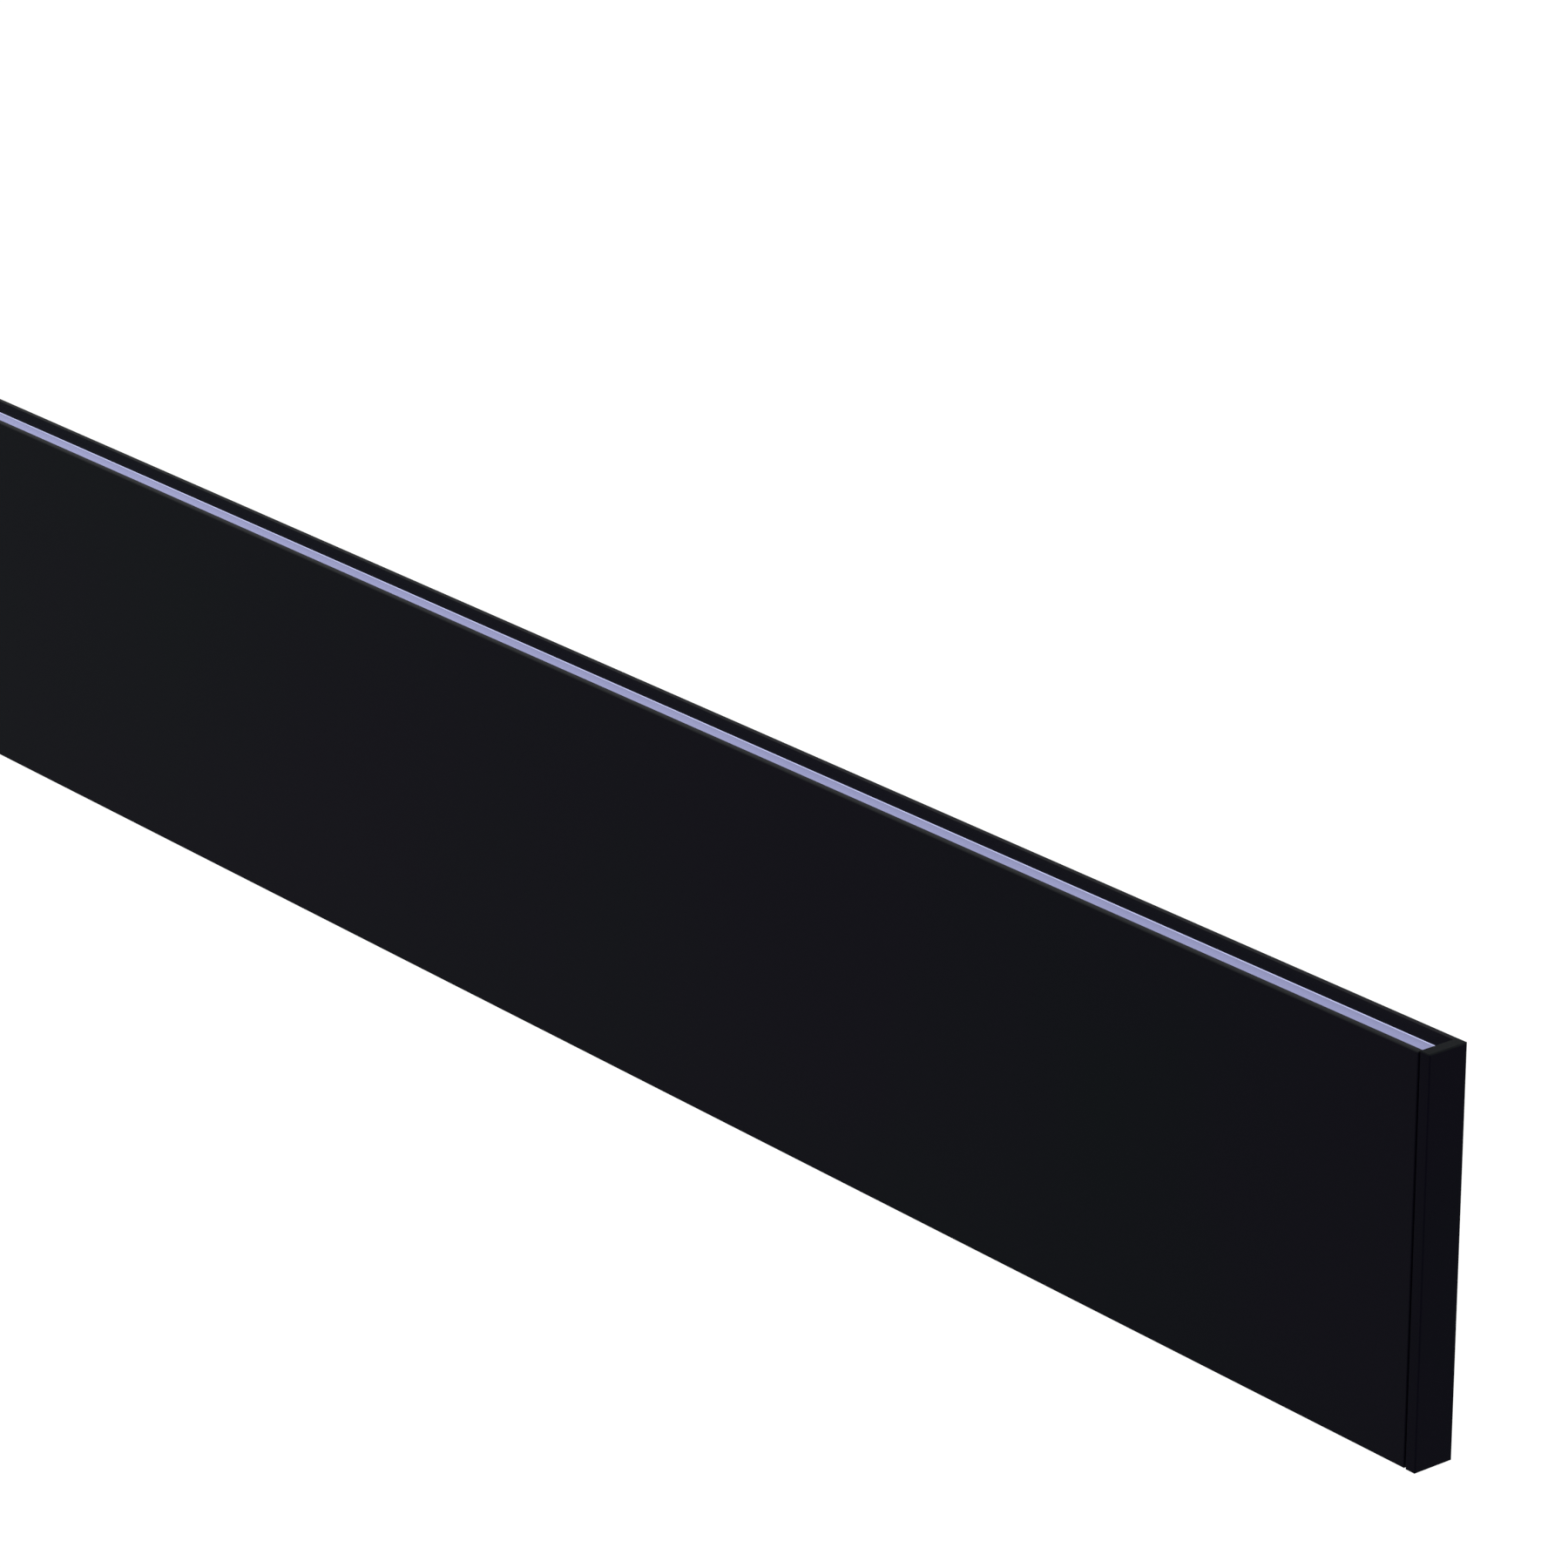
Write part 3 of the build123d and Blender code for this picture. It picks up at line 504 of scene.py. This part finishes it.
# The end caps carry a faint painted highlight just under their top edge.
cap_coat_and_highlight = powder_coat("cap_coat_and_highlight", shine=0.018, highlight_below=cap_top, highlight_lift=0.005)
black_oxide = plated("black_oxide", (0.075, 0.075, 0.085), (0.035, 0.035, 0.042), roughness=0.28,
                     streaks=EVEN)
spangled_zinc = galvanised("galvanised", (0.60, 0.61, 0.62), (0.36, 0.38, 0.41), roughness=0.28)
OWN_FINISHES = {
    "back_channel": powder_coat("channel_coat", shine=0.03, lift=0.0065),
    # The cover carries a painted highlight just under its top edge.
    "front_cover": powder_coat("cover_coat_and_highlight", highlight_below=cover_top, highlight_lift=0.012),
    "end_cap_left": cap_coat_and_highlight, "end_cap_right": cap_coat_and_highlight,
    "lock_screw_left": black_oxide, "lock_screw_right": black_oxide, "end_cap_screws": black_oxide,
    "wall_bracket": spangled_zinc, "hanger_rail": spangled_zinc,
}
slot_of = {part["node"]: part["material_slot"] for part in frame["record"]["subparts"]}
body_of = {node: body for body, nodes in frame["record"]["behaviour"]["bodies"].items() for node in nodes}


def finish_of(node):
    return OWN_FINISHES.get(node, FINISHES[slot_of[node]])


print(len(slot_of), "pieces, of which", len(OWN_FINISHES), "have a finish of their own")

# %% [markdown]
# ## Real faces from loose triangles
#
# A CAD edge is infinitely sharp and catches no light, but every real edge is a little round: powder coat
# pulls thin over it, sheet metal is tumbled, and moulds have radii.  Modelling each piece again would risk
# its size, so the maker starts from a copy of the CAD mesh.  That mesh is loose triangles, which no bevel
# could follow, so points at the same place are merged and triangles in the same plane are joined.

# %% Merge a node's triangles
SAME_POINT, FLAT = 0.0005 * MM, math.radians(1.0)


def merged_copy(node):
    """The node's mesh as real faces instead of loose triangles."""
    build = bmesh.new()
    build.from_mesh(frame["nodes"][node].data)
    bmesh.ops.remove_doubles(build, verts=build.verts, dist=SAME_POINT)
    bmesh.ops.dissolve_limit(build, angle_limit=FLAT, verts=build.verts, edges=build.edges)
    return build


sample = merged_copy("end_cap_right")
print("end_cap_right has", len(frame["nodes"]["end_cap_right"].data.polygons), "triangles, which make",
      len(sample.faces), "real faces")
sample.free()

# %% [markdown]
# ## Soft edges
#
# Only the edges that turn sharply are bevelled.  Faces that meet at a small angle, such as the facets of a
# round, are shaded smooth instead.
#
# A flat face with holes can't be one polygon, so merging leaves seams in it that run from rim to rim.  A
# bevel guards against overlaps by shrinking until it fits beside the nearest such seam, which would leave
# every edge sharp again.  So the guard is off, and each flat face that is in several parts is filled anew
# from its bevelled outline.

# %% Round the sharp edges
SHARP, SHORTEST_EDGE = math.radians(35), 0.1 * MM
BEVEL_SEGMENTS = 2


def turns_sharply(edge):
    return len(edge.link_faces) == 2 and edge.calc_face_angle(0) > SHARP


def take_flat(first, others):
    """The faces in the same plane as the first that reach it through shared edges, taken out of others."""
    flat, unvisited = [first], [first]
    while unvisited:
        neighbours = [face for edge in unvisited.pop().edges for face in edge.link_faces]
        for face in neighbours:
            if face in others and abs(face.normal.dot(first.normal)) > math.cos(FLAT):
                del others[face]
                flat.append(face)
                unvisited.append(face)
    return flat


def refill(build, flat):
    """Swaps a flat face that is in several parts for triangles between its outlines."""
    normal = max(flat, key=lambda face: face.calc_area()).normal.copy()
    outline = [edge for face in flat for edge in face.edges
               if sum(beside in flat for beside in edge.link_faces) == 1]
    bmesh.ops.delete(build, geom=flat, context="FACES_KEEP_BOUNDARY")
    bmesh.ops.triangle_fill(build, edges=outline, use_beauty=True, use_dissolve=False, normal=normal)


def round_edges(build, radius):
    """Bevels the sharp edges and refills the flat faces."""
    sharp = [edge for edge in build.edges if turns_sharply(edge) and edge.calc_length() > SHORTEST_EDGE]
    bevel = bmesh.ops.bevel(build, geom=sharp, offset=radius, offset_type="OFFSET",
                            segments=BEVEL_SEGMENTS, profile=0.5, affect="EDGES", clamp_overlap=False,
                            material=-1)
    rounds = set(bevel["faces"])
    others = dict.fromkeys(face for face in build.faces if face not in rounds)
    while others:
        first = next(iter(others))
        del others[first]
        flat = take_flat(first, others)
        if len(flat) > 1:
            refill(build, flat)


sample = merged_copy("end_cap_right")
round_edges(sample, 0.12 * MM)
print("end_cap_right has", len(sample.faces), "faces with round edges")
sample.free()

# %% [markdown]
# ## Screw threads
#
# When a thumb screw is backed out, its thread shows between its head and the box.  A thread is a helix: one
# pitch of its outline, spun about the screw's axis while it moves along it by one pitch a turn.  The start
# of each turn meets the end of the one before, so the turns merge into one skin, and two flat cuts trim it
# to length.

# %% Spin a threaded rod
PITCH, THREAD_DEPTH = 0.7 * MM, 0.38 * MM
ROOT_END, CREST_START, CREST_END = 0.2, 0.45, 0.65
STEPS_PER_TURN, SAME_SEAM = 28, 0.002 * MM
OUTLINE = ((0, THREAD_DEPTH), (ROOT_END, THREAD_DEPTH), (CREST_START, 0), (CREST_END, 0), (1, THREAD_DEPTH))


def cut_flat(build, x, side):
    """Cuts the mesh across X at x, drops what is beyond it on one side, and closes the cut."""
    cut = bmesh.ops.bisect_plane(build, geom=build.verts[:] + build.edges[:] + build.faces[:],
                                 plane_co=(x, 0, 0), plane_no=(side, 0, 0), clear_outer=True)
    edges = [item for item in cut["geom_cut"] if isinstance(item, bmesh.types.BMEdge)]
    bmesh.ops.holes_fill(build, edges=edges, sides=0)


def helix(axis_y, axis_z, radius, start, end):
    """A threaded rod along X from start to end, as a closed mesh."""
    rod = bmesh.new()
    corners = [rod.verts.new((start - PITCH * (1 - along), axis_y, axis_z + radius - sunk))
               for along, sunk in OUTLINE]
    for near, far in zip(corners, corners[1:]):
        rod.edges.new((near, far))
    turns = math.ceil((end - start) / PITCH) + 2
    bmesh.ops.spin(rod, geom=rod.verts[:] + rod.edges[:], cent=(0, axis_y, axis_z), axis=(1, 0, 0),
                   dvec=(PITCH / STEPS_PER_TURN, 0, 0), angle=2 * math.pi * turns,
                   steps=STEPS_PER_TURN * turns, use_merge=False)
    bmesh.ops.remove_doubles(rod, verts=rod.verts, dist=SAME_SEAM)
    cut_flat(rod, start, -1)
    cut_flat(rod, end, 1)
    bmesh.ops.recalc_face_normals(rod, faces=rod.faces)
    return rod


sample = helix(0, 0, 2 * MM, start=0, end=3.5 * MM)
print("3.5 mm of thread takes", len(sample.faces), "faces")
sample.free()

# %% [markdown]
# ## A thread in place of the shank
#
# The CAD screw has a plain shank.  Its axis, its tip and the underside of its head are measured on the
# mesh, so the thread lands where the shank was: the shank is cut off flush with the head, and the threaded
# rod is added.

# %% Swap a thumb screw's shank for a thread
HEAD_OVER_SHANK = 1.5


def middle_of(numbers):
    return (min(numbers) + max(numbers)) / 2


def add_thread(build):
    """Swaps a thumb screw's plain shank for a threaded one."""
    places = [vertex.co.copy() for vertex in build.verts]
    side = 1 if places[0].x > 0 else -1
    places.sort(key=lambda place: side * place.x)
    centre_y, centre_z = middle_of([place.y for place in places]), middle_of([place.z for place in places])
    from_axis = [math.hypot(place.y - centre_y, place.z - centre_z) for place in places]
    tip, shank = places[0].x, from_axis[0]
    under_head = next(place.x for place, far in zip(places, from_axis) if far > HEAD_OVER_SHANK * shank)
    cut_flat(build, under_head, -side)
    thread = helix(centre_y, centre_z, shank, min(tip, under_head), max(tip, under_head))
    joined = bpy.data.meshes.new("thread")
    thread.to_mesh(joined)
    thread.free()
    build.from_mesh(joined)
    bpy.data.meshes.remove(joined)
    print("thread from", round(tip / MM, 2), "to", round(under_head / MM, 2), "mm")


print("threads have a pitch of", round(PITCH / MM, 2), "mm and are", round(THREAD_DEPTH / MM, 2), "mm deep")

# %% [markdown]
# ## The driver's lid
#
# Moulded lids have a slightly sunken panel, so that a rating plate would lie below the rim.  An inset of
# the whole outer face would cross itself at the rounded corners, whose radius is smaller than the panel's
# margin.  So four straight cuts mark off a rectangle in that face first, and an inset with a negative depth
# sinks it.

# %% Sink the lid's panel
PANEL_MARGIN, PANEL_DEPTH = 3.0 * MM, 0.4 * MM


def sink_panel(build):
    """Cuts a rectangle into the lid's outer face and sinks it."""
    rear = max(build.faces, key=lambda face: face.normal.y * face.calc_area())
    middle = rear.calc_center_bounds()
    outline = [vertex.co.copy() for vertex in rear.verts]
    parts = [rear]
    for across in (Vector((1, 0, 0)), Vector((0, 0, 1))):
        reach = [corner.dot(across) for corner in outline]
        for place in (min(reach) + PANEL_MARGIN, max(reach) - PANEL_MARGIN):
            nearby = dict.fromkeys(item for face in parts for item in (face, *face.edges, *face.verts))
            cut = bmesh.ops.bisect_plane(build, geom=list(nearby), plane_co=across * place, plane_no=across)
            parts = [item for item in cut["geom"] if isinstance(item, bmesh.types.BMFace)]
    panel = min(parts, key=lambda face: (face.calc_center_bounds() - middle).length)
    bmesh.ops.inset_individual(build, faces=[panel], thickness=PANEL_DEPTH / 2, depth=-PANEL_DEPTH,
                               use_even_offset=True)
    print("lid panel sunk by", round(PANEL_DEPTH / MM, 2), "mm")


RESHAPED = {"lock_screw_left": add_thread, "lock_screw_right": add_thread, "driver_lid": sink_panel}
print(len(RESHAPED), "pieces are reshaped")

# %% [markdown]
# ## A finished piece for a CAD piece
#
# The finished copy stands for its CAD node: it rides on the same body and takes its finish from the same
# slot.  Edges that still turn sharply are marked, so that the shading breaks there.  Weighted normals then
# keep each large flat face evenly lit right up to its rounded edge.

# %% Define the maker of finished pieces


def softened(node, radius):
    """A copy of a CAD node with its sharp edges rounded, which stands for that node."""
    mesh = bpy.data.meshes.new(f"{node}_finished")
    build = merged_copy(node)
    if radius:
        round_edges(build, radius)
    if node in RESHAPED:
        RESHAPED[node](build)
    build.normal_update()
    for face in build.faces:
        face.smooth = True
    for edge in build.edges:
        edge.smooth = not turns_sharply(edge)
    build.to_mesh(mesh)
    build.free()
    piece = bpy.data.objects.new(f"{node}_finished", mesh)
    bpy.context.scene.collection.objects.link(piece)
    mesh.materials.append(finish_of(node))
    even = piece.modifiers.new("even_shading", "WEIGHTED_NORMAL")
    even.keep_sharp = True
    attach(piece, body_of[node])
    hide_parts(node)
    print(node, len(mesh.polygons), "faces")


print("finished pieces ride on", sorted(set(body_of.values())))

# %% [markdown]
# ## Edge radii
#
# Each radius is what such an edge has, in millimetres: 0.12 to 0.15 on an extrusion, a cap or a washer,
# about 0.1 on a small screw or a circuit board, and 0.2 to 0.4 on folded sheet, larger fasteners and small
# mouldings.  The thumb screws have none, because their knurls are too fine for a bevel.  The leads, the
# rivets, the tape and the earth lead's ring already look right as CAD made them, so they only take a
# finish.

# %% Finish every piece
EDGE_RADII = {
    "back_channel": 0.15, "front_cover": 0.12, "end_cap_left": 0.12, "end_cap_right": 0.12,
    "upper_diffuser": 0.12, "lower_diffuser": 0.12,
    "back_box": 0.25, "hanger_rail": 0.25, "wall_bracket": 0.25,
    "driver_case": 0.25, "driver_lid": 0.4, "terminal_block": 0.35,
    "lock_screw_left": 0, "lock_screw_right": 0, "lock_nuts": 0.2,
    "lock_washer_left": 0.15, "lock_washer_right": 0.15, "wire_grommet": 0.4, "ground_screw": 0.2,
    "upper_light_boards": 0.1, "lower_light_boards": 0.1, "driver_board": 0.1,
    "upper_light_chips": 0.1, "lower_light_chips": 0.1,
    "upper_board_connector": 0.3, "lower_board_connector": 0.3, "driver_components": 0.4,
    "end_cap_screws": 0.08, "back_box_screws": 0.08, "driver_screws": 0.08, "earth_screw": 0.08,
    "terminal_screws": 0.08,
}
for node, radius in EDGE_RADII.items():
    softened(node, radius * MM)
plain_nodes = [node for node in frame["nodes"] if node not in EDGE_RADII]
for node in plain_nodes:
    frame["nodes"][node].data.materials.clear()
    frame["nodes"][node].data.materials.append(finish_of(node))
print(len(EDGE_RADII), "finished copies; these only take a finish:", plain_nodes)

# %% [markdown]
# ## Sizes
#
# Rounding an edge only takes material away, so the finished model must have the same box as the CAD model.
